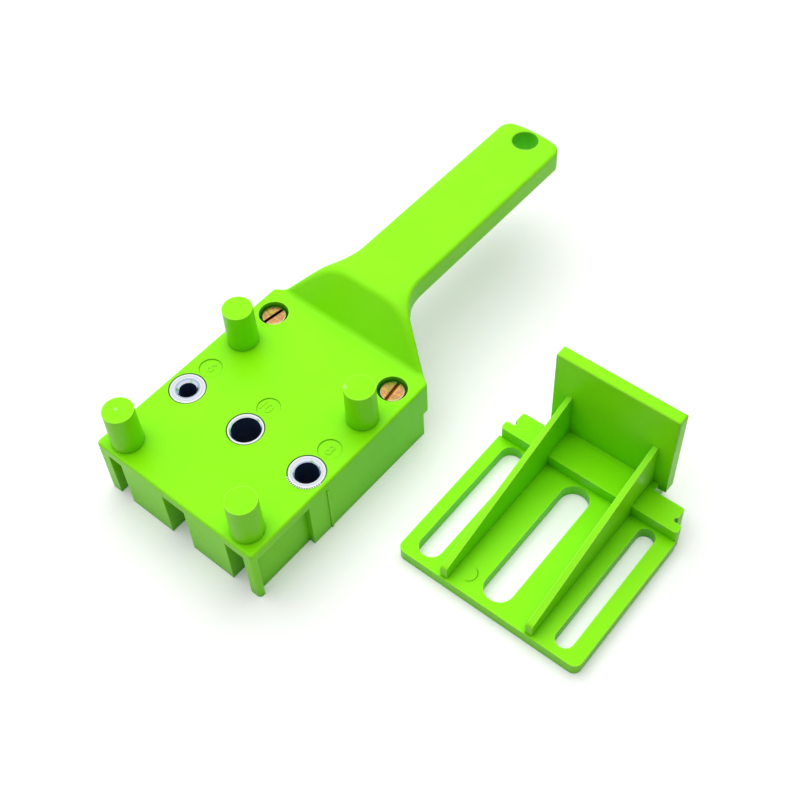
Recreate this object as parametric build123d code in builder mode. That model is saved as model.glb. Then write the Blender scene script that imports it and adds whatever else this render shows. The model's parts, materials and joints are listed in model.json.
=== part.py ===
"""Doweling jig: a moulded body with a handle, three steel guide bushes and an edge stop.

Millimetres, +Z up. The origin is on the floor, on the axis of the middle bush.
+Y runs along the handle and +X along the row of bushes.
"""

from build123d import *
import os
from math import atan, cos, degrees, radians, sin, sqrt, tan

os.makedirs("parts", exist_ok=True)

# Guide bushes, one row along X
guide_pitch = 27.0
left_drill = 6.0
centre_drill = 10.0
right_drill = 8.0
bush_diameter = 12.7
left_entry = 0.85
centre_entry = 0.5
right_entry = 0.6
bush_chamfer = 0.3
bush_clearance = 0.02
bush_boss_wall = 1.6

# Body block, measured from the row of bushes
body_width = 70.0
body_front = 34.0
body_back = 50.8
body_height = 25.0
top_thickness = 3.8
wall = 2.4
front_wall = 2.2
rib = 1.8
lower_back_inset = 2.6
corner_radius = 1.5
back_corner_radius = 1.6
edge_radius = 1.0

# Recess in each side and the centre mark behind it
side_recess = 2.6
pad_length = 8.2
mark_width = 0.8
mark_proud = 0.4

# Round posts that straddle the edge of a board
post_spacing = 54.0
post_diameter = 11.0
post_draft = 0.9
number_mark_diameter = 8.0
number_mark_depth = 0.35
number_mark_distance = 11.0

# Screws and captive nuts of the stop
screw_spacing = 54.0
screw_distance = 42.1
screw_diameter = 5.0
screw_length = 20.0
screw_sunk = 1.2
head_diameter = 8.5
head_height = 3.3
head_edge = 0.35
slot_width = 1.2
slot_depth = 1.6
left_slot_angle = 82.0
right_slot_angle = 97.0
screw_hole_clearance = 0.25
head_recess_diameter = 10.5
nut_across_flats = 8.0
nut_height = 4.0
nut_chamfer = 0.5
nut_seat_height = 12.0
nut_clearance = 0.2
thread_clearance = 0.05
screw_boss_wall = 1.15

# Handle and the ramp that lifts it from the body
grip_width = 25.6
jig_length = 191.9
grip_rise = 16.2
grip_thickness = 8.6
grip_wall = 2.6
grip_skin = 2.8
ramp_angle = 60.0
ramp_setback = 1.2
ramp_foot_radius = 3.0
ridge_radius = 3.2
shoulder_foot = 32.2
crown_radius = 20.0
flare_angle = 34.0
flare_radius = 17.2
root_height = 11.0
root_length = 16.5
end_bow = 1.6
end_radius = 4.5
hang_hole_diameter = 9.7
hang_hole_setback = 6.4
hang_boss_wall = 2.2
grip_rib_pitch = 15.0
grip_rib_count = 4
grip_rib_start = 33.6

# Edge stop, lying beside the body
stop_gap = 23.7
stop_ahead = 5.8
stop_turn = 0.93
stop_width = 69.3
plate_thickness = 4.7
plate_corner = 2.75
stop_slot_pitch = 26.1
stop_slot_clearance = 0.25
slot_start = 3.2
slot_end = 54.7
band_start = 55.7
band_height = 9.55
ear_width = 68.6
lobe_end = 59.2
ear_step = 63.4
ear_end = 65.3
ear_corner = 1.1
notch_middle = 60.0
notch_diameter = 1.8
fence_start = 68.4
fence_thickness = 4.4
fence_width = 45.4
fence_height = 44.5
fence_root_width = 40.0
fence_overhang_height = 7.0
gusset_spacing = 32.6
gusset_tip = 0.75
gusset_tip_height = 9.7
gusset_top_height = 27.5
gusset_base = 2.75
gusset_top = 1.9
gusset_tip_radius = 1.5

# Places worked out from the sizes above
half_width = body_width / 2
under_height = body_height - top_thickness
lower_back = body_back - lower_back_inset
guides = (
    ("bush_6mm", -guide_pitch, left_drill, left_entry),
    ("bush_10mm", 0.0, centre_drill, centre_entry),
    ("bush_8mm", guide_pitch, right_drill, right_entry),
)
bush_hole_radius = bush_diameter / 2 + bush_clearance
bush_boss_radius = bush_hole_radius + bush_boss_wall
head_seat = body_height - screw_sunk - head_height
nut_pocket_radius = nut_across_flats / 2 + nut_clearance
screw_boss_radius = nut_pocket_radius * 2 / sqrt(3) + screw_boss_wall
screws = (
    ("left_screw", "left_nut", -screw_spacing / 2, left_slot_angle),
    ("right_screw", "right_nut", screw_spacing / 2, right_slot_angle),
)
grip_half = grip_width / 2
grip_root = lower_back - wall
grip_end = jig_length - body_front
grip_top = body_height + grip_rise
ramp_start = body_back + ramp_setback
ramp_slope = tan(radians(ramp_angle))
flare_end = body_back + (half_width - grip_half) * tan(radians(flare_angle))
hang_hole_y = grip_end - hang_hole_setback


# Handle: its outline from the side, crossed with a crowned outline from the end, then trimmed from above
with BuildPart() as grip_form:
    with BuildSketch(Plane.YZ) as grip_side:
        with BuildLine():
            Polyline(
                (grip_root, body_height),
                (ramp_start, body_height),
                (ramp_start + grip_rise / ramp_slope, grip_top),
                (grip_end + grip_wall, grip_top),
                (grip_end + grip_wall, grip_top - grip_thickness),
                (body_back + root_length, grip_top - grip_thickness),
                (body_back, root_height),
                (grip_root, root_height),
                close=True,
            )
        make_face()
    extrude(amount=half_width, both=True)
    with BuildSketch(Plane.XZ) as grip_crown:
        with BuildLine():
            Polyline(
                (-half_width, 0),
                (-half_width, body_height),
                (-shoulder_foot, body_height),
                (grip_rise - shoulder_foot, grip_top),
                (shoulder_foot - grip_rise, grip_top),
                (shoulder_foot, body_height),
                (half_width, body_height),
                (half_width, 0),
                close=True,
            )
        make_face()
        crown_corners = grip_crown.vertices().group_by(Axis.Y)[-1]
        fillet(crown_corners, radius=crown_radius)
    extrude(amount=-grip_end - grip_wall, mode=Mode.INTERSECT)
    ramp_point = (0, ramp_start + 1, body_height + ramp_slope)
    ramp = grip_form.faces().sort_by_distance(ramp_point)[0]
    fillet(ramp.edges().sort_by(Axis.Z)[1:], radius=ridge_radius)
    ramp = grip_form.faces().sort_by_distance(ramp_point)[0]
    fillet(ramp.edges().sort_by(Axis.Z)[0], radius=ramp_foot_radius)
    with BuildSketch() as grip_plan:
        with BuildLine():
            right_side = Polyline(
                (0, grip_root),
                (half_width, grip_root),
                (half_width, body_back),
                (grip_half, flare_end),
                (grip_half, grip_end - end_bow),
            )
            left_side = Polyline(
                (0, grip_root),
                (-half_width, grip_root),
                (-half_width, body_back),
                (-grip_half, flare_end),
                (-grip_half, grip_end - end_bow),
            )
            ThreePointArc(right_side @ 1, (0, grip_end), left_side @ 1)
        make_face()
        block_corners = grip_plan.vertices().filter_by_position(Axis.Y, body_back - 0.01, body_back + 0.01)
        fillet(block_corners, radius=back_corner_radius)
        inner_bends = grip_plan.vertices().filter_by_position(Axis.Y, flare_end - 0.01, flare_end + 0.01)
        fillet(inner_bends, radius=flare_radius)
        end_corners = grip_plan.vertices().group_by(Axis.Y)[-1]
        fillet(end_corners, radius=end_radius)
    extrude(amount=grip_top, mode=Mode.INTERSECT)
    side_faces = [
        face
        for face in grip_form.faces()
        if abs(face.normal_at().Z) < 0.01 and face.center().Y > grip_root + wall / 2
    ]
    side_edges = [edge for face in side_faces for edge in face.edges()]
    upper_faces = [face for face in grip_form.faces() if face.normal_at().Z > 0.3]
    rim = ShapeList([edge for face in upper_faces for edge in face.edges() if edge in side_edges])
    fillet(rim.sort_by(SortBy.LENGTH), radius=edge_radius)

# Hollow underneath the handle, between its side walls, ribs and hole boss
inner_shift = grip_skin / sin(radians(ramp_angle))
with BuildPart() as grip_hollow:
    with BuildSketch():
        add(grip_plan.sketch)
        offset(amount=-grip_wall, kind=Kind.INTERSECTION, mode=Mode.REPLACE)
    extrude(amount=grip_top)
    with BuildSketch(Plane.YZ):
        with BuildLine():
            Polyline(
                (body_back, 0),
                (body_back, body_height - (ramp_setback + inner_shift) * ramp_slope),
                (ramp_start + inner_shift + (grip_rise - grip_skin) / ramp_slope, grip_top - grip_skin),
                (grip_end, grip_top - grip_skin),
                (grip_end, 0),
                close=True,
            )
        make_face()
    extrude(amount=body_width, both=True, mode=Mode.INTERSECT)
    with BuildSketch(Plane.XZ):
        add(grip_crown.sketch)
        offset(amount=-grip_skin, kind=Kind.INTERSECTION, mode=Mode.REPLACE)
    extrude(amount=-grip_end, mode=Mode.INTERSECT)
    with BuildSketch():
        with Locations((0, hang_hole_y)):
            Circle(hang_hole_diameter / 2 + hang_boss_wall)
        for number in range(grip_rib_count):
            with Locations((0, body_back + grip_rib_start + number * grip_rib_pitch)):
                Rectangle(grip_width, rib)
        with Locations((0, body_back + grip_rib_start / 2)):
            Rectangle(rib, grip_rib_start)
    extrude(amount=grip_top, mode=Mode.SUBTRACT)

# Body: open underneath, with bosses round the bushes and screws and a channel behind each sight slot
with BuildPart() as jig_body:
    with BuildSketch() as walls:
        with Locations((0, (lower_back - body_front) / 2)):
            Rectangle(body_width, lower_back + body_front)
        front_corners = walls.vertices().group_by(Axis.Y)[0]
        fillet(front_corners, radius=corner_radius)
        recess_length = body_front - front_wall - pad_length
        recess_middle = -(body_front - front_wall) + recess_length / 2
        with Locations((-half_width, recess_middle), (half_width, recess_middle)):
            Rectangle(2 * side_recess, recess_length, mode=Mode.SUBTRACT)
        front_room = body_front - front_wall - pad_length + wall
        with Locations((0, -(body_front - front_wall) + front_room / 2)):
            Rectangle(body_width - 2 * (side_recess + wall), front_room, mode=Mode.SUBTRACT)
        rear_room = lower_back - wall + pad_length - wall
        with Locations((0, lower_back - wall - rear_room / 2)):
            Rectangle(body_width - 2 * wall, rear_room, mode=Mode.SUBTRACT)
        Rectangle(body_width - wall, rib)
        with Locations((-guide_pitch / 2, lower_back / 2), (guide_pitch / 2, lower_back / 2)):
            Rectangle(rib, lower_back)
        for name, guide_x, drill, entry in guides:
            with Locations((guide_x, -body_front / 2)):
                Rectangle(drill + 2 * rib, body_front)
        for name, guide_x, drill, entry in guides:
            with Locations((guide_x, -body_front / 2)):
                Rectangle(drill, body_front, mode=Mode.SUBTRACT)
        with Locations(*[(guide_x, 0) for name, guide_x, drill, entry in guides]):
            Circle(bush_boss_radius)
        with Locations(*[(screw_x, screw_distance) for name, nut, screw_x, angle in screws]):
            Circle(screw_boss_radius)
    extrude(amount=under_height)
    with BuildSketch(Plane.XY.offset(under_height)) as top_plan:
        with Locations((0, (lower_back - body_front) / 2)):
            Rectangle(body_width, lower_back + body_front)
        front_corners = top_plan.vertices().group_by(Axis.Y)[0]
        fillet(front_corners, radius=corner_radius)
    extrude(amount=top_thickness)
    outer_edges = jig_body.faces().sort_by(Axis.Z)[-1].outer_wire().edges().sort_by(Axis.Y)
    fillet(outer_edges[:-1], radius=edge_radius)

    add(grip_form.part)
    add(grip_hollow.part, mode=Mode.SUBTRACT)

    for side in (-1, 1):
        with BuildSketch(Plane.YZ.offset(side * half_width)) as mark:
            with Locations((mark_width / 2, under_height / 2)):
                Rectangle(mark_width, under_height)
        extrude(amount=side * mark_proud)

    with BuildSketch(Plane.XY.offset(body_height)):
        with GridLocations(post_spacing, post_spacing, 2, 2):
            Circle(post_diameter / 2)
    extrude(amount=grip_rise, taper=post_draft)

    with BuildSketch(Plane.XY.offset(body_height)):
        with Locations(*[(guide_x, number_mark_distance) for name, guide_x, drill, entry in guides]):
            Circle(number_mark_diameter / 2)
    extrude(amount=-number_mark_depth, mode=Mode.SUBTRACT)

    with BuildSketch():
        with Locations(*[(guide_x, 0) for name, guide_x, drill, entry in guides]):
            Circle(bush_hole_radius)
        with Locations(*[(screw_x, screw_distance) for name, nut, screw_x, angle in screws]):
            Circle(screw_diameter / 2 + screw_hole_clearance)
        with Locations((0, hang_hole_y)):
            Circle(hang_hole_diameter / 2)
    extrude(amount=grip_top, mode=Mode.SUBTRACT)
    with BuildSketch(Plane.XY.offset(head_seat)):
        with Locations(*[(screw_x, screw_distance) for name, nut, screw_x, angle in screws]):
            Circle(head_recess_diameter / 2)
    extrude(amount=body_height - head_seat, mode=Mode.SUBTRACT)
    with BuildSketch():
        with Locations(*[(screw_x, screw_distance) for name, nut, screw_x, angle in screws]):
            RegularPolygon(radius=nut_pocket_radius, side_count=6, major_radius=False, rotation=30)
    extrude(amount=nut_seat_height, mode=Mode.SUBTRACT)
jig_body.part.label = "jig_body"
export_step(jig_body.part, "parts/jig_body.step")

# Guide bushes: plain steel sleeves as tall as the body
for name, guide_x, drill, entry in guides:
    with BuildPart() as bush:
        with BuildSketch():
            with Locations((guide_x, 0)):
                Circle(bush_diameter / 2)
                Circle(drill / 2, mode=Mode.SUBTRACT)
        extrude(amount=body_height)
        for ring, length in ((0, entry), (-1, bush_chamfer)):
            top_edges = bush.edges().group_by(Axis.Z)[-1].sort_by(SortBy.RADIUS)
            chamfer(top_edges[ring], length=length)
    bush.part.label = name
    export_step(bush.part, f"parts/{name}.step")

# Slotted cheese-head screws and the nuts that ride on them
for screw_name, nut_name, screw_x, slot_angle in screws:
    with BuildPart() as screw:
        with BuildSketch(Plane.XY.offset(head_seat - screw_length)):
            with Locations((screw_x, screw_distance)):
                Circle(screw_diameter / 2)
        extrude(amount=screw_length)
        with BuildSketch(Plane.XY.offset(head_seat)):
            with Locations((screw_x, screw_distance)):
                Circle(head_diameter / 2)
        extrude(amount=head_height)
        chamfer(screw.edges().group_by(Axis.Z)[-1], length=head_edge)
        with BuildSketch(Plane.XY.offset(head_seat + head_height)):
            with Locations((screw_x, screw_distance)):
                Rectangle(2 * head_diameter, slot_width, rotation=slot_angle)
        extrude(amount=-slot_depth, mode=Mode.SUBTRACT)
    screw.part.label = screw_name
    export_step(screw.part, f"parts/{screw_name}.step")

    with BuildPart() as nut:
        with BuildSketch(Plane.XY.offset(nut_seat_height - nut_height)):
            with Locations((screw_x, screw_distance)):
                Circle(nut_across_flats / sqrt(3))
        extrude(amount=nut_height)
        chamfer(nut.edges().group_by(Axis.Z)[0], length=nut_chamfer / 2, length2=nut_chamfer)
        with BuildSketch(Plane.XY.offset(nut_seat_height - nut_height)):
            with Locations((screw_x, screw_distance)):
                RegularPolygon(radius=nut_across_flats / 2, side_count=6, major_radius=False, rotation=30)
                Circle(screw_diameter / 2 + thread_clearance, mode=Mode.SUBTRACT)
        extrude(amount=nut_height, mode=Mode.INTERSECT)
    nut.part.label = nut_name
    export_step(nut.part, f"parts/{nut_name}.step")

# Edge stop: a slotted plate, a raised band and an upright face held by two gussets
stop_base = Plane(
    origin=(half_width + stop_gap + stop_width / 2, stop_ahead, 0),
    x_dir=(cos(radians(stop_turn)), sin(radians(stop_turn)), 0),
    z_dir=(0, 0, 1),
)
stop_side = Plane(origin=stop_base.origin, x_dir=stop_base.y_dir, z_dir=stop_base.x_dir)
stop_front = Plane(origin=stop_base.origin, x_dir=stop_base.x_dir, z_dir=-stop_base.y_dir)
stop_slots = (
    (-stop_slot_pitch, right_drill),
    (0.0, centre_drill),
    (stop_slot_pitch, left_drill),
)
fence_end = fence_start + fence_thickness
gusset_draft = degrees(atan((gusset_base - gusset_top) / 2 / gusset_top_height))

with BuildPart() as gusset_form:
    with BuildSketch(stop_front):
        with Locations((gusset_spacing / 2, 0), (-gusset_spacing / 2, 0)):
            Trapezoid(
                gusset_base,
                gusset_top_height,
                90 - gusset_draft,
                align=(Align.CENTER, Align.MIN),
            )
    extrude(amount=-fence_end)
    with BuildSketch(stop_side) as gusset_side:
        with BuildLine():
            Polyline(
                (gusset_tip, 0),
                (gusset_tip, gusset_tip_height),
                (fence_start, gusset_top_height),
                (fence_end, gusset_top_height),
                (fence_end, 0),
                close=True,
            )
        make_face()
        gusset_nose = gusset_side.vertices().sort_by_distance((gusset_tip, gusset_tip_height))[0]
        fillet(gusset_nose, radius=gusset_tip_radius)
    extrude(amount=stop_width, both=True, mode=Mode.INTERSECT)

with BuildPart() as edge_stop:
    with BuildSketch(stop_base) as plate:
        with Locations((0, band_start / 2)):
            Rectangle(stop_width, band_start)
        fillet(plate.vertices().group_by(Axis.Y)[0], radius=plate_corner)
    extrude(amount=plate_thickness)
    with BuildSketch(stop_base):
        for slot_u, drill in stop_slots:
            with Locations((slot_u, (slot_start + slot_end) / 2)):
                SlotOverall(slot_end - slot_start, drill + stop_slot_clearance, rotation=90)
    extrude(amount=plate_thickness, mode=Mode.SUBTRACT)
    with BuildSketch(stop_base):
        with Locations((0, (band_start + lobe_end) / 2)):
            RectangleRounded(ear_width, lobe_end - band_start, ear_corner)
        with Locations((0, (band_start + ear_end) / 2)):
            RectangleRounded(ear_step, ear_end - band_start, ear_corner)
        with Locations((0, (ear_end + fence_end) / 2)):
            Rectangle(fence_root_width, fence_end - ear_end)
        with Locations((ear_step / 2, notch_middle), (-ear_step / 2, notch_middle)):
            Circle(notch_diameter / 2, mode=Mode.SUBTRACT)
    extrude(amount=band_height)
    with BuildSketch(stop_base.offset(fence_overhang_height)):
        with Locations((0, (fence_start + fence_end) / 2)):
            Rectangle(fence_width, fence_thickness)
    extrude(amount=fence_height - fence_overhang_height)
    add(gusset_form.part)
edge_stop.part.label = "edge_stop"
export_step(edge_stop.part, "parts/edge_stop.step")
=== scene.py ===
import bmesh
import bpy
import json
import math
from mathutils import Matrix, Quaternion, Vector


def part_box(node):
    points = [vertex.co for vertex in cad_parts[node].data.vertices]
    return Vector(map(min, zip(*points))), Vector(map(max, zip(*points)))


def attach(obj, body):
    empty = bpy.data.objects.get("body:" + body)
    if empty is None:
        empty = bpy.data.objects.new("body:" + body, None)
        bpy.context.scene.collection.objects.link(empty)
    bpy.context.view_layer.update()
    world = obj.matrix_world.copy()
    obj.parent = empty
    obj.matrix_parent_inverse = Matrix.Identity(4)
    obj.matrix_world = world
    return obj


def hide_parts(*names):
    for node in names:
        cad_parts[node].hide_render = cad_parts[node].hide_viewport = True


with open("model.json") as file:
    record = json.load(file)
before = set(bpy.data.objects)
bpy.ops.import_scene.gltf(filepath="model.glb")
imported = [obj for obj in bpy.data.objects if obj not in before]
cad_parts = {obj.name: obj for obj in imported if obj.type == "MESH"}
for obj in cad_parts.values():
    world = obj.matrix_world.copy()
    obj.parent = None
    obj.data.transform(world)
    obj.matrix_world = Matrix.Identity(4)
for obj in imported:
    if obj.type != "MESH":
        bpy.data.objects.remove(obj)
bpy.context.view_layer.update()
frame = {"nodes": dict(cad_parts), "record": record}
scene = bpy.context.scene

# sizes of the CAD part, in metres, taken from the frame

mounts = {mount["name"]: mount for mount in frame["record"]["mounts"]}
joints = {joint["name"]: joint for joint in frame["record"]["behaviour"]["joints"]}
screw_low, screw_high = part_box("right_screw")

GUIDE_PITCH = mounts["right_bore"]["pos_m"][0]
TOP = mounts["top_face"]["pos_m"][2]
JIG_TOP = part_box("jig_body")[1].z
BUSH_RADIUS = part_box("bush_10mm")[1].x
SCREW_X, SCREW_Y, HEAD_SEAT = joints["right_screw_turn"]["pos_m"]
HEAD_RADIUS = screw_high.x - SCREW_X
HEAD_TOP = screw_high.z
SHANK_END = screw_low.z
HOLE_Y = mounts["hang_hole"]["pos_m"][1]
HOLE_RADIUS = mounts["hang_hole"]["dims"]["r_mm"] / 1000

# sizes that the frame doesn't name, as in the part's source

MARK_DISTANCE = 0.011
MARK_RADIUS = 0.004
HEAD_EDGE = 0.00035
SLOT_HALF = 0.0006
SLOT_FLOOR = 0.0222
LEFT_SLOT_ANGLE = math.radians(82.0)
RIGHT_SLOT_ANGLE = math.radians(97.0)

# camera, solved from the photograph

EYE = Vector((0.20558, -0.14817, 0.36216))
AIM = Vector((0.01701, 0.05547, 0.0))
ROLL = math.radians(-3.69)
LENS = 57.93
SENSOR_WIDTH = 36.0
SHIFT = (0.00264, -0.00665)

camera_data = bpy.data.cameras.new("camera")
camera_data.sensor_width = SENSOR_WIDTH
camera_data.lens = LENS
camera_data.shift_x, camera_data.shift_y = SHIFT
camera = bpy.data.objects.new("camera", camera_data)
camera.location = EYE
camera.rotation_mode = "QUATERNION"
camera.rotation_quaternion = (AIM - EYE).to_track_quat("-Z", "Y") @ Quaternion((0, 0, 1), ROLL)
scene.collection.objects.link(camera)
scene.camera = camera
scene.view_settings.view_transform = "Standard"


# helpers for materials

SHADING_SAMPLES = 6
WHOLE_PITCHES = 6


class Nodes:
    """A material's node tree, with short calls for the nodes that the finishes use."""

    def __init__(self, name):
        self.material = bpy.data.materials.new(name)
        self.material.use_nodes = True
        self.tree = self.material.node_tree
        self.shader = self.tree.nodes["Principled BSDF"]

    def new(self, kind):
        return self.tree.nodes.new("ShaderNode" + kind)

    def set(self, **values):
        for key, value in values.items():
            self.shader.inputs[key.replace("_", " ")].default_value = value

    def put(self, socket, value):
        if isinstance(value, bpy.types.NodeSocket):
            self.tree.links.new(value, socket)
        else:
            socket.default_value = value

    def to_shader(self, key, value):
        self.put(self.shader.inputs[key], value)

    def place(self):
        return self.new("TexCoord").outputs["Object"]

    def ray(self, kind):
        return self.new("LightPath").outputs[kind]

    def math(self, operation, a, b=0.0):
        node = self.new("Math")
        node.operation = operation
        self.put(node.inputs[0], a)
        self.put(node.inputs[1], b)
        return node.outputs[0]

    def vector(self, operation, a, b=(0, 0, 0)):
        node = self.new("VectorMath")
        node.operation = operation
        self.put(node.inputs[0], a)
        self.put(node.inputs[1], b)
        single = operation in ("LENGTH", "DISTANCE", "DOT_PRODUCT")
        return node.outputs["Value" if single else "Vector"]

    def split(self, vector):
        node = self.new("SeparateXYZ")
        self.put(node.inputs[0], vector)
        return node.outputs

    def join(self, x, y, z):
        node = self.new("CombineXYZ")
        for socket, value in zip(node.inputs, (x, y, z)):
            self.put(socket, value)
        return node.outputs[0]

    def noise(self, vector, scale, detail=2.0, roughness=0.5, distortion=0.0):
        node = self.new("TexNoise")
        self.put(node.inputs["Vector"], vector)
        node.inputs["Scale"].default_value = scale
        node.inputs["Detail"].default_value = detail
        node.inputs["Roughness"].default_value = roughness
        node.inputs["Distortion"].default_value = distortion
        return node.outputs["Fac"]

    def ramp(self, value, *stops):
        """Colour ramp through stops, each a position and a colour."""
        node = self.new("ValToRGB")
        self.put(node.inputs[0], value)
        elements = node.color_ramp.elements
        while len(elements) < len(stops):
            elements.new(0.5)
        for element, (position, colour) in zip(elements, stops):
            element.position = position
            element.color = (*colour, 1.0)
        return node.outputs["Color"]

    def span(self, value, old, new, smooth=False):
        """A value that runs over the old range, carried over to the new range and held at its ends."""
        node = self.new("MapRange")
        node.interpolation_type = "SMOOTHSTEP" if smooth else "LINEAR"
        for socket, entry in zip(node.inputs, (value, *old, *new)):
            self.put(socket, entry)
        return node.outputs["Result"]

    def mix(self, factor, a, b):
        node = self.new("Mix")
        node.data_type = "RGBA"
        self.put(node.inputs[0], factor)
        for socket, colour in ((node.inputs[6], a), (node.inputs[7], b)):
            self.put(socket, colour if isinstance(colour, bpy.types.NodeSocket) else (*colour, 1.0))
        return node.outputs[2]

    def tinted(self, tone, mask, strength, colour):
        """A tone with a share of another colour laid over it where the mask is 1."""
        return self.mix(self.math("MULTIPLY", mask, strength), tone, colour)

    def bump(self, height, strength, distance, normal=None):
        node = self.new("Bump")
        node.inputs["Strength"].default_value = strength
        node.inputs["Distance"].default_value = distance
        self.put(node.inputs["Height"], height)
        if normal:
            self.put(node.inputs["Normal"], normal)
        return node.outputs["Normal"]

    def facing_up(self):
        """1 on a level face, 0 on an upright one."""
        return self.math("ABSOLUTE", self.split(self.new("NewGeometry").outputs["True Normal"])[2])

    def rounded(self, radius):
        """Normal with every edge rounded over the given radius."""
        node = self.new("Bevel")
        node.samples = SHADING_SAMPLES
        self.put(node.inputs["Radius"], radius)
        return node.outputs["Normal"]

    def open_share(self, distance):
        """1 in the open, falling to 0 in a tight corner."""
        node = self.new("AmbientOcclusion")
        node.samples = SHADING_SAMPLES
        node.inputs["Distance"].default_value = distance
        return node.outputs["AO"]

    def edge_share(self, radius):
        """0 on a flat, rising towards 1 on a sharp edge."""
        plain = self.new("NewGeometry").outputs["Normal"]
        return self.math("SUBTRACT", 1.0, self.vector("DOT_PRODUCT", plain, self.rounded(radius)))

    def near(self, place, point, radii):
        """1 within the first radius of a point, falling to 0 at the second."""
        return self.span(self.vector("DISTANCE", place, point), radii, (1.0, 0.0))

    def line(self, value, middle, half_width):
        """1 where a value is at middle, falling to 0 half a width away."""
        off = self.math("ABSOLUTE", self.math("SUBTRACT", value, middle))
        return self.span(off, (0.0, half_width), (1.0, 0.0))

    def from_axis(self, across, y, axis_y):
        """Distance from an upright axis, from how far across it lies and its place along the handle."""
        return self.vector("LENGTH", self.join(across, self.math("SUBTRACT", y, axis_y), 0.0))

    def from_nearest_guide(self, place, ahead):
        """Distance along the top from the nearest guide's axis, moved ahead along the handle.

        Whole pitches are added to x first, because the remainder has to be taken of a positive number.
        """
        x, y = self.split(place)[:2]
        shifted = self.math("ADD", x, (WHOLE_PITCHES + 0.5) * GUIDE_PITCH)
        across = self.math("SUBTRACT", self.math("MODULO", shifted, GUIDE_PITCH), GUIDE_PITCH / 2)
        return self.from_axis(across, y, ahead)


# green plastic

BODY_TONES = ((0.3, (0.240, 0.800, 0.003)), (0.7, (0.262, 0.835, 0.004)))
CORNER_SHADE_TONE = (0.060, 0.400, 0.0)
EDGE_HIGHLIGHT_TONE = (0.460, 0.980, 0.080)
MARK_SHADE_TONE = (0.10, 0.50, 0.002)
SEAT_SHADE_TONE = (0.030, 0.110, 0.030)
EJECTOR_SHADE_TONE = (0.040, 0.230, 0.002)
GATE_TONE = (0.62, 0.95, 0.40)
PALE_MARK_TONE = (0.62, 0.92, 0.42)
HOLE_SHADE_TONE = (0.030, 0.600, 0.004)

MARK_SHADE_STRENGTH = 0.45
SEAT_SHADE_STRENGTH = 0.85
EJECTOR_SHADE_STRENGTH = 0.85
GATE_STRENGTH = 0.5
HOLE_SHADE_STRENGTH = 0.5
EDGE_HIGHLIGHT_STRENGTH = 0.55
SHELTER_SHADE_STRENGTH = 0.28

CORNER_REACH = 0.006
CORNER_OPENNESS = (0.2, 0.8)
SHELTER_REACH = 0.022
SHELTER_OPENNESS = (0.35, 0.9)
EDGE_OPENNESS = (0.70, 0.92)
EDGE_SHARES = (0.01, 0.16)
TOP_BAND = 0.0006
MARK_LINE = 0.00022
SEAT_LINE = 0.00020
SEAT_GAP = 0.0001
MARK_MARGIN = 0.0005
EDGE_LINE = 0.0009
HOLE_MARGIN = 0.00005
HOLE_RIM = 0.0001

GATE_DOT = (-0.0278, -0.0271, JIG_TOP)
GATE_RADII = (0.0003, 0.0008)
POST_PALE_SPOT = (0.0224, 0.0243, JIG_TOP)
PALE_SPOT_RADII = (0.0001, 0.0011)
PALE_SPOT_SQUEEZE = 0.55
GUSSET_SCUFF = (0.1093, 0.0665, 0.0190)
SCUFF_RADII = (0.0002, 0.0016)
SCRATCH_STRETCH = (0.6, 1.6, 1.0)
PALE_MARK_ROUGHNESS = 0.2
HOLE_ROUGHNESS = 0.3
EJECTOR_MARK = (0.0825, 0.0123, 0.0047)
EJECTOR_RADIUS = 0.0029
EJECTOR_FADE = 0.002

HANDLE_START = 0.060
HANDLE_LOWEST = 0.030
EDGE_ROUNDING = (0.0003, 0.0017)
SPECULAR_LEVEL = 0.22


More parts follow.
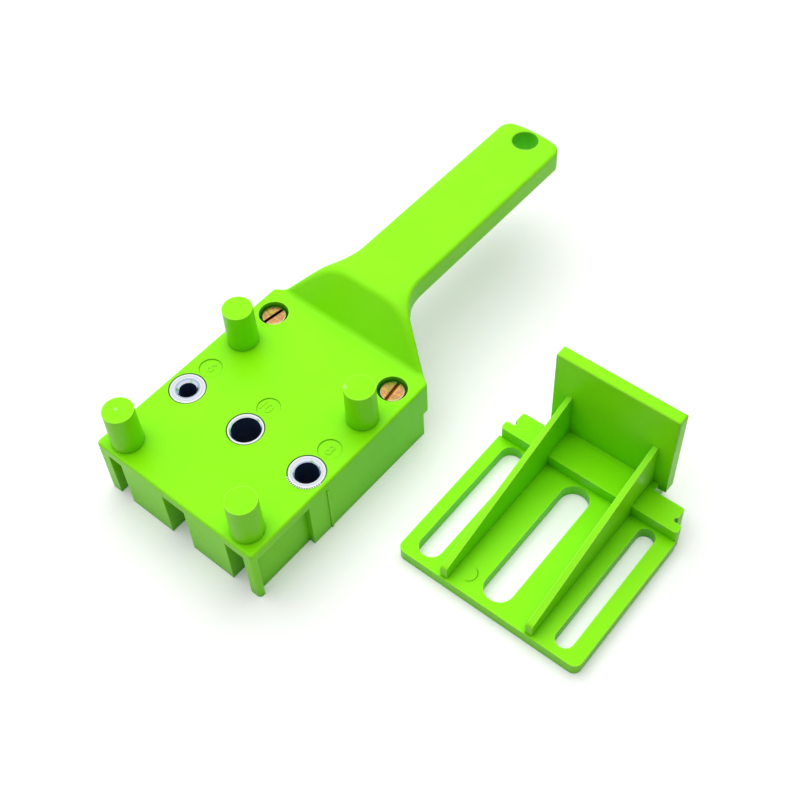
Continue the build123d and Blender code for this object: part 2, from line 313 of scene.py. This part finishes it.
def moulded_plastic():
    """Lime green ABS: a fine satin mould texture, round mould marks, painted shade in corners and
    hollows, painted highlights on edges, a scuffed spot and a pale spot.
    """
    n = Nodes("green_plastic")
    place = n.place()
    x, y, z = n.split(place)
    clouds = n.noise(place, scale=45.0, detail=3.0)
    grain = n.noise(place, scale=2600.0, roughness=0.6)
    sinks = n.noise(place, scale=90.0, detail=1.0)
    body_tone = n.ramp(clouds, *BODY_TONES)

    # Painted shade: a deep green laid into tight corners, and a lighter share of it into larger sheltered
    # areas, where ambient occlusion finds them.
    openness = n.open_share(CORNER_REACH)
    corner = n.span(openness, CORNER_OPENNESS, (1.0, 0.0))
    shelter = n.span(n.open_share(SHELTER_REACH), SHELTER_OPENNESS, (SHELTER_SHADE_STRENGTH, 0.0))
    tone = n.mix(n.math("MAXIMUM", corner, shelter), body_tone, CORNER_SHADE_TONE)

    on_top = n.line(z, TOP, TOP_BAND)
    from_mark = n.from_nearest_guide(place, MARK_DISTANCE)
    # Painted shade: a dark ring on the top, where the wall of each round number mark's recess stands.
    mark_shade_line = n.math("MULTIPLY", n.line(from_mark, MARK_RADIUS, MARK_LINE), on_top)
    from_guide = n.from_nearest_guide(place, 0.0)
    # Painted shade: a dark line on the plastic just outside each bush, where the gap round it lies in
    # shade.
    seat_shade_line = n.math("MULTIPLY", n.line(from_guide, BUSH_RADIUS + SEAT_GAP, SEAT_LINE), on_top)
    # The ejector pin's ring is a real shallow mark, given as a bump below; its dark line, laid only on
    # the right-hand arc, is painted shade.
    ejector_line = n.line(n.vector("DISTANCE", place, EJECTOR_MARK), EJECTOR_RADIUS, SEAT_LINE)
    ejector_shaded_side = n.span(x, (EJECTOR_MARK[0], EJECTOR_MARK[0] + EJECTOR_FADE), (0.0, 1.0))
    ejector_line = n.math("MULTIPLY", ejector_line, ejector_shaded_side)
    gate = n.near(place, GATE_DOT, GATE_RADII)

    # Painted highlight: a light green line along convex edges, kept out of concave corners and out of the
    # round marks.
    in_mark = n.math("MULTIPLY", n.math("LESS_THAN", from_mark, MARK_RADIUS + MARK_MARGIN), on_top)
    edge = n.span(n.edge_share(EDGE_LINE), EDGE_SHARES, (0.0, EDGE_HIGHLIGHT_STRENGTH))
    edge = n.math("MULTIPLY", edge, n.span(openness, EDGE_OPENNESS, (0.0, 1.0)))
    edge = n.math("MULTIPLY", edge, n.math("SUBTRACT", 1.0, in_mark))
    tone = n.mix(edge, tone, EDGE_HIGHLIGHT_TONE)
    tone = n.tinted(tone, mark_shade_line, MARK_SHADE_STRENGTH, MARK_SHADE_TONE)
    tone = n.tinted(tone, seat_shade_line, SEAT_SHADE_STRENGTH, SEAT_SHADE_TONE)
    tone = n.tinted(tone, ejector_line, EJECTOR_SHADE_STRENGTH, EJECTOR_SHADE_TONE)
    tone = n.tinted(tone, gate, GATE_STRENGTH, GATE_TONE)

    # A scuffed spot on a gusset, and a pale spot at the top edge of a post: both lighter and rougher,
    # broken up by scratchy noise.
    stretched = n.vector("MULTIPLY", place, SCRATCH_STRETCH)
    scratchy = n.noise(stretched, scale=1500.0, detail=3.0, roughness=0.7)
    squeezed = n.vector("MULTIPLY", place, (PALE_SPOT_SQUEEZE, 1.0, 1.0))
    pale_spot = n.near(squeezed, (PALE_SPOT_SQUEEZE * POST_PALE_SPOT[0], *POST_PALE_SPOT[1:]), PALE_SPOT_RADII)
    pale_marks = n.math("ADD", pale_spot, n.near(place, GUSSET_SCUFF, SCUFF_RADII))
    pale_marks = n.math("MULTIPLY", pale_marks, n.span(scratchy, (0.35, 0.6), (0.2, 0.75)))
    tone = n.mix(pale_marks, tone, PALE_MARK_TONE)
    # Painted shade: the wall of the hanging hole is tinted a darker, deeper green; the added roughness
    # below is its duller surface.
    in_hole = n.math("LESS_THAN", n.from_axis(x, y, HOLE_Y), HOLE_RADIUS + HOLE_MARGIN)
    in_hole = n.math("MULTIPLY", in_hole, n.math("LESS_THAN", z, JIG_TOP - HOLE_RIM))
    n.to_shader("Base Color", n.tinted(tone, in_hole, HOLE_SHADE_STRENGTH, HOLE_SHADE_TONE))

    satin = n.span(n.noise(place, scale=320.0, detail=4.0), (0.3, 0.7), (0.30, 0.40))
    satin = n.math("ADD", satin, n.math("MULTIPLY", pale_marks, PALE_MARK_ROUGHNESS))
    n.to_shader("Roughness", n.math("ADD", satin, n.math("MULTIPLY", in_hole, HOLE_ROUGHNESS)))
    on_handle = n.math("GREATER_THAN", y, HANDLE_START)
    on_handle = n.math("MULTIPLY", on_handle, n.math("GREATER_THAN", z, HANDLE_LOWEST))
    normal = n.rounded(n.span(on_handle, (0.0, 1.0), EDGE_ROUNDING))
    normal = n.bump(sinks, strength=0.25, distance=0.0004, normal=normal)
    normal = n.bump(grain, strength=0.18, distance=0.00003, normal=normal)
    marks = n.math("SUBTRACT", gate, ejector_line)
    normal = n.bump(marks, strength=0.8, distance=0.00025, normal=normal)
    n.to_shader("Normal", normal)
    n.set(Specular_IOR_Level=SPECULAR_LEVEL)
    return n.material


# steel of the bushes

FACE_STEEL = (0.97, 0.98, 0.99)
BLUISH_STEEL = (0.48, 0.58, 0.74)
GROOVE_STEEL = (0.50, 0.56, 0.64)
RIM_SHADE_STEEL = (0.10, 0.12, 0.13)
BORE_SHADE_STEEL = (0.011, 0.030, 0.085)
BLUISH_RADII = (0.0053, 0.0058)
RIM_WIDTH = 0.00022
FLUSH_MARGIN = 0.000005
STRETCH_ALONG_BORE = 0.2
UPRIGHT_LIMIT = 0.3
BORE_ROUGHNESS = 0.35


def turned_steel():
    """Turned steel: pale rings round each bush's axis, painted shade on the outer edge, and the bore
    painted dark navy as shade.
    """
    n = Nodes("bush_steel")
    place = n.place()
    z = n.split(place)[2]
    radius = n.from_nearest_guide(place, 0.0)
    turned = n.join(radius, 0.0, n.math("MULTIPLY", z, STRETCH_ALONG_BORE))
    broad = n.noise(turned, scale=1500.0)
    fine = n.noise(turned, scale=6500.0, detail=3.0, roughness=0.7)
    wall = n.math("LESS_THAN", n.facing_up(), UPRIGHT_LIMIT)

    inner = n.span(radius, BLUISH_RADII, (1.0, 0.0))
    bluish = n.math("MULTIPLY", inner, n.span(broad, (0.38, 0.60), (1.0, 0.15)))
    tone = n.mix(bluish, FACE_STEEL, BLUISH_STEEL)
    tone = n.mix(n.span(fine, (0.5, 0.7), (0.0, 0.35)), tone, GROOVE_STEEL)
    # Painted shade: a dark ring at the outer edge of each bush's top, where the gap round it lies in
    # shade.
    rim = n.math("GREATER_THAN", radius, BUSH_RADIUS - RIM_WIDTH)
    rim = n.math("MULTIPLY", rim, n.math("LESS_THAN", z, TOP + FLUSH_MARGIN))
    tone = n.mix(rim, tone, RIM_SHADE_STEEL)
    # Painted shade: the upright walls of the bushes, which are the bores, are dark navy and not metallic.
    n.to_shader("Base Color", n.mix(wall, tone, BORE_SHADE_STEEL))
    n.to_shader("Metallic", n.math("SUBTRACT", 1.0, wall))
    roughness = n.span(fine, (0.3, 0.7), (0.16, 0.28))
    n.to_shader("Roughness", n.math("ADD", roughness, n.math("MULTIPLY", wall, BORE_ROUGHNESS)))
    n.to_shader("Normal", n.bump(fine, strength=0.25, distance=0.00004))
    return n.material


# yellow zinc of the screws and nuts

ZINC_TONES = (
    (0.36, (0.36, 0.40, 0.11)),
    (0.44, (0.72, 0.44, 0.13)),
    (0.52, (0.62, 0.24, 0.15)),
    (0.62, (0.86, 0.45, 0.22)))
GOLD_TONE = (0.92, 0.58, 0.08)
RIM_HIGHLIGHT_TONE = (0.98, 0.82, 0.56)
LEFT_SLOT_SHADE = (0.020, 0.008, 0.003)
RIGHT_SLOT_SHADE = (0.400, 0.150, 0.015)
SLOT_REACH = 0.0018
HEAD_RIM_RADII = (0.0037, 0.0039)
HEAD_RIM_DEPTH = 0.0005
HEAD_HIGHLIGHT_STRENGTH = 0.8
SECOND_NOISE_SHIFT = (0.013, 0.007, 0.0)
ZINC_ROUNDING = 0.0002


def yellow_zinc():
    """Yellow passivated zinc, with the bath's pink, gold and olive tints and faint turning marks."""
    n = Nodes("yellow_zinc")
    place = n.place()
    x, y, z = n.split(place)
    tint = n.noise(place, scale=480.0, roughness=0.55, distortion=0.6)
    second = n.noise(n.vector("ADD", place, SECOND_NOISE_SHIFT), scale=700.0)
    fine = n.noise(place, scale=3500.0, detail=3.0, roughness=0.7)
    tone = n.ramp(tint, *ZINC_TONES)
    tone = n.mix(n.span(second, (0.52, 0.62), (0.0, 0.7)), tone, GOLD_TONE)

    # Painted shade: in the slots and round the heads, where ambient occlusion finds them, the colour goes
    # to near black on the left screw and dark brown on the right.
    openness = n.span(n.open_share(SLOT_REACH), (0.35, 0.85), (0.0, 1.0))
    sheltered = n.mix(n.math("GREATER_THAN", x, 0.0), LEFT_SLOT_SHADE, RIGHT_SLOT_SHADE)
    tone = n.mix(openness, sheltered, tone)
    # Painted highlight: a pale gold ring on the chamfered rim of each head's top.
    across = n.math("SUBTRACT", n.math("ABSOLUTE", x), SCREW_X)
    rim = n.span(n.from_axis(across, y, SCREW_Y), HEAD_RIM_RADII, (0.0, HEAD_HIGHLIGHT_STRENGTH))
    rim = n.math("MULTIPLY", rim, n.math("GREATER_THAN", z, HEAD_TOP - HEAD_RIM_DEPTH))
    n.to_shader("Base Color", n.mix(rim, tone, RIM_HIGHLIGHT_TONE))
    n.to_shader("Roughness", n.span(fine, (0.3, 0.7), (0.24, 0.40)))
    n.to_shader("Normal", n.bump(fine, strength=0.3, distance=0.00004, normal=n.rounded(ZINC_ROUNDING)))
    n.set(Metallic=1.0)
    return n.material


FINISHES = {
    "green_plastic": moulded_plastic(),
    "bush_steel": turned_steel(),
    "yellow_zinc": yellow_zinc()}
for part in frame["record"]["subparts"]:
    node = frame["nodes"][part["node"]]
    node.data.materials.clear()
    node.data.materials.append(FINISHES[part["material_slot"]])


# helpers for shapes

ROUND_STEPS = 64
HALF_STEPS = 32


def around(radius, angle, height):
    return radius * math.cos(angle), radius * math.sin(angle), height


def loft(mesh, rings):
    """Closed skin through rings of points, each given in order round the axis."""
    rows = [[mesh.verts.new(point) for point in ring] for ring in rings]
    count = len(rows[0])
    mesh.faces.new(reversed(rows[0]))
    mesh.faces.new(rows[-1])
    for low, high in zip(rows, rows[1:]):
        for k in range(count):
            mesh.faces.new((low[k], low[(k + 1) % count], high[(k + 1) % count], high[k]))


def ring(radius, height):
    return [around(radius, math.tau * k / ROUND_STEPS, height) for k in range(ROUND_STEPS)]


def half_head(radius, height, turn):
    """Outline of one half of the head beside the slot, turned about the axis."""
    start = math.asin(SLOT_HALF / radius)
    step = (math.pi - 2 * start) / HALF_STEPS
    return [around(radius, start + step * k + turn, height) for k in range(HALF_STEPS + 1)]


def finished(mesh, name):
    """The bmesh as mesh data of that name."""
    data = bpy.data.meshes.new(name)
    mesh.to_mesh(data)
    mesh.free()
    return data


def new_piece(name, data, finish):
    data.materials.clear()
    data.materials.append(FINISHES[finish])
    piece = bpy.data.objects.new(name, data)
    scene.collection.objects.link(piece)
    return piece


# raised numbers in the round marks beside the guides

NUMBER_SIZE = 0.0056
NUMBER_SPACING = 0.9
NUMBER_HALF_HEIGHT = 0.00008
NUMBER_BEVEL = 0.00003
NUMBER_DEPTH = 0.0003


def raised_number(text, x):
    curve = bpy.data.curves.new("number_" + text, "FONT")
    curve.body = text
    curve.size = NUMBER_SIZE
    curve.align_x = "CENTER"
    curve.align_y = "CENTER"
    curve.extrude = NUMBER_HALF_HEIGHT
    curve.bevel_depth = NUMBER_BEVEL
    curve.space_character = NUMBER_SPACING
    source = bpy.data.objects.new("number_source", curve)
    data = bpy.data.meshes.new_from_object(source)
    bpy.data.objects.remove(source)
    middle = sum((vertex.co for vertex in data.vertices), Vector()) / len(data.vertices)
    for vertex in data.vertices:
        vertex.co += Vector((x - middle.x, MARK_DISTANCE - middle.y, TOP - NUMBER_DEPTH))
    piece = new_piece("number_" + text, data, "green_plastic")
    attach(piece, "root")


for guide_number, guide_x in (("6", -GUIDE_PITCH), ("10", 0.0), ("8", GUIDE_PITCH)):
    raised_number(guide_number, guide_x)


# knurled edge of the 8 mm bush, which stands a little proud towards the front

KNURL_TEETH = 50
KNURL_INNER = 0.0060
KNURL_OUTER = 0.0068
KNURL_SUNK = 0.0002
KNURL_PROUD = 0.0002
KNURL_FRONT = Vector((0.45, -0.89))
KNURL_LEAST_SHARE = 0.45
TOOTH_ROOT = 0.22
TOOTH_TIP = 0.20
TOOTH_OUTLINE = (
    (KNURL_INNER, -TOOTH_ROOT),
    (KNURL_OUTER, -TOOTH_TIP),
    (KNURL_OUTER, TOOTH_TIP),
    (KNURL_INNER, TOOTH_ROOT))

knurl = bmesh.new()
tooth_pitch = math.tau / KNURL_TEETH
for number in range(KNURL_TEETH):
    middle = tooth_pitch * number
    share = KNURL_FRONT.dot((math.cos(middle), math.sin(middle)))
    if share > KNURL_LEAST_SHARE:
        heights = (TOP - KNURL_SUNK, TOP + KNURL_PROUD * share)
        corners = [(radius, middle + turn * tooth_pitch) for radius, turn in TOOTH_OUTLINE]
        loft(knurl, [[around(*corner, height) for corner in corners] for height in heights])
bmesh.ops.translate(knurl, verts=knurl.verts, vec=(GUIDE_PITCH, 0.0, 0.0))
knurl_piece = new_piece("bush_knurl", finished(knurl, "bush_knurl"), "bush_steel")
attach(knurl_piece, "root")


# slotted screws with a rolled thread

THREAD_PITCH = 0.0008
THREAD_CREST = 0.0025
THREAD_ROOT = 0.0021
THREAD_STEPS = 28
THREAD_START = 0.6 * THREAD_PITCH
THREAD_RUNOUT = 0.0010
THREAD_SUNK = 0.0001
THREAD_FOOT = 0.40
THREAD_LAND = 0.08
TIP_CHAMFER = 0.0004
NECK_START = 0.0006
NECK_END = 0.0003
UNDER_EDGE = 0.0001
HALVES_SUNK = 0.0002
EDGE_INWARD = 0.4
EDGE_DOWN = 0.3
SHARP_ANGLE = math.radians(30)


def thread_sections():
    """Cross-sections of the thread's ridge along its helix, running out to nothing at both ends."""
    lowest = SHANK_END + THREAD_START
    highest = HEAD_SEAT - THREAD_RUNOUT
    steps = int((highest - lowest) / THREAD_PITCH * THREAD_STEPS)
    inner = THREAD_ROOT - THREAD_SUNK
    sections = []
    for k in range(steps + 1):
        angle = math.tau * k / THREAD_STEPS
        height = lowest + THREAD_PITCH * k / THREAD_STEPS
        taper = min(1.0, k / THREAD_STEPS, (steps - k) / THREAD_STEPS)
        crest = THREAD_ROOT + (THREAD_CREST - THREAD_ROOT) * taper
        shape = ((inner, -THREAD_FOOT), (crest, -THREAD_LAND), (crest, THREAD_LAND), (inner, THREAD_FOOT))
        sections.append([around(radius, angle, height + rise * THREAD_PITCH) for radius, rise in shape])
    return sections


def threaded_screw(node, x, slot_angle):
    mesh = bmesh.new()
    loft(mesh, [
        ring(THREAD_ROOT - TIP_CHAMFER, SHANK_END),
        ring(THREAD_ROOT, SHANK_END + TIP_CHAMFER),
        ring(THREAD_ROOT, HEAD_SEAT - NECK_START),
        ring(THREAD_CREST, HEAD_SEAT - NECK_END),
        ring(THREAD_CREST, HEAD_SEAT),
        ring(HEAD_RADIUS - UNDER_EDGE, HEAD_SEAT),
        ring(HEAD_RADIUS, HEAD_SEAT + UNDER_EDGE),
        ring(HEAD_RADIUS, SLOT_FLOOR)])
    for turn in (slot_angle, slot_angle + math.pi):
        loft(mesh, [
            half_head(HEAD_RADIUS, SLOT_FLOOR - HALVES_SUNK, turn),
            half_head(HEAD_RADIUS, HEAD_TOP - HEAD_EDGE, turn),
            half_head(HEAD_RADIUS - EDGE_INWARD * HEAD_EDGE, HEAD_TOP - EDGE_DOWN * HEAD_EDGE, turn),
            half_head(HEAD_RADIUS - HEAD_EDGE, HEAD_TOP, turn)])
    loft(mesh, thread_sections())
    bmesh.ops.recalc_face_normals(mesh, faces=mesh.faces)
    bmesh.ops.translate(mesh, verts=mesh.verts, vec=(x, SCREW_Y, 0.0))
    data = finished(mesh, node + "_threaded")
    piece = new_piece(node + "_threaded", data, "yellow_zinc")
    data.set_sharp_from_angle(angle=SHARP_ANGLE)
    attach(piece, node)
    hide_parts(node)


threaded_screw("left_screw", -SCREW_X, LEFT_SLOT_ANGLE)
threaded_screw("right_screw", SCREW_X, RIGHT_SLOT_ANGLE)


# floor

FLOOR_HALF = 4
FLOOR_WHITE = 0.98
FLOOR_BOUNCE = 0.8
FLOOR_GLOW = 0.2
FLOOR_IN_MIRRORS = 0.12
FADE_DISTANCES = (0.20, 0.70)


def white_floor():
    """White table: it keeps the object's shadow, and the camera sees it as plain white farther away."""
    n = Nodes("floor")
    n.tree.nodes.remove(n.shader)
    camera_ray = n.ray("Is Camera Ray")
    diffuse = n.new("BsdfDiffuse")
    n.put(diffuse.inputs["Color"], n.span(camera_ray, (0.0, 1.0), (FLOOR_BOUNCE, FLOOR_WHITE)))
    glow = n.new("Emission")
    away = n.vector("DISTANCE", n.place(), (AIM.x, AIM.y, 0.0))
    fade = n.span(away, FADE_DISTANCES, (FLOOR_GLOW, 1.0), smooth=True)
    to_camera = n.math("MULTIPLY", camera_ray, fade)
    to_mirrors = n.math("MULTIPLY", n.ray("Is Glossy Ray"), FLOOR_IN_MIRRORS)
    blend = n.new("MixShader")
    n.put(blend.inputs[0], n.math("MAXIMUM", to_camera, to_mirrors))
    n.put(blend.inputs[1], diffuse.outputs[0])
    n.put(blend.inputs[2], glow.outputs[0])
    n.put(n.tree.nodes["Material Output"].inputs["Surface"], blend.outputs[0])
    return n.material


floor_corners = [(x * FLOOR_HALF, y * FLOOR_HALF, 0) for x, y in ((-1, -1), (1, -1), (1, 1), (-1, 1))]
floor_mesh = bpy.data.meshes.new("floor")
floor_mesh.from_pydata(floor_corners, [], [(0, 1, 2, 3)])
floor = bpy.data.objects.new("floor", floor_mesh)
floor.data.materials.append(white_floor())
scene.collection.objects.link(floor)


# light: a white surround, dimmer for diffuse rays, and one large soft lamp

WORLD_LEVEL = 1.0
WORLD_DIFFUSE_LEVEL = 0.17
LAMP_WIDTH = 1.4
LAMP_POWER = 12.5
LAMP_PLACE = Vector((-0.20, 0.15, 0.78))

world = bpy.data.worlds.new("world")
scene.world = world
world.use_nodes = True
world_tree = world.node_tree
background = world_tree.nodes["Background"]
background.inputs["Color"].default_value = (1, 1, 1, 1)
path = world_tree.nodes.new("ShaderNodeLightPath")
level = world_tree.nodes.new("ShaderNodeMapRange")
level.inputs["To Min"].default_value = WORLD_LEVEL
level.inputs["To Max"].default_value = WORLD_DIFFUSE_LEVEL
world_tree.links.new(path.outputs["Is Diffuse Ray"], level.inputs["Value"])
world_tree.links.new(level.outputs[0], background.inputs["Strength"])

softbox = bpy.data.lights.new("softbox", "AREA")
softbox.shape = "DISK"
softbox.size = LAMP_WIDTH
softbox.energy = LAMP_POWER
lamp = bpy.data.objects.new("softbox", softbox)
lamp.location = LAMP_PLACE
lamp.rotation_mode = "QUATERNION"
lamp.rotation_quaternion = (AIM - LAMP_PLACE).to_track_quat("-Z", "Y")
lamp.visible_glossy = False
scene.collection.objects.link(lamp)
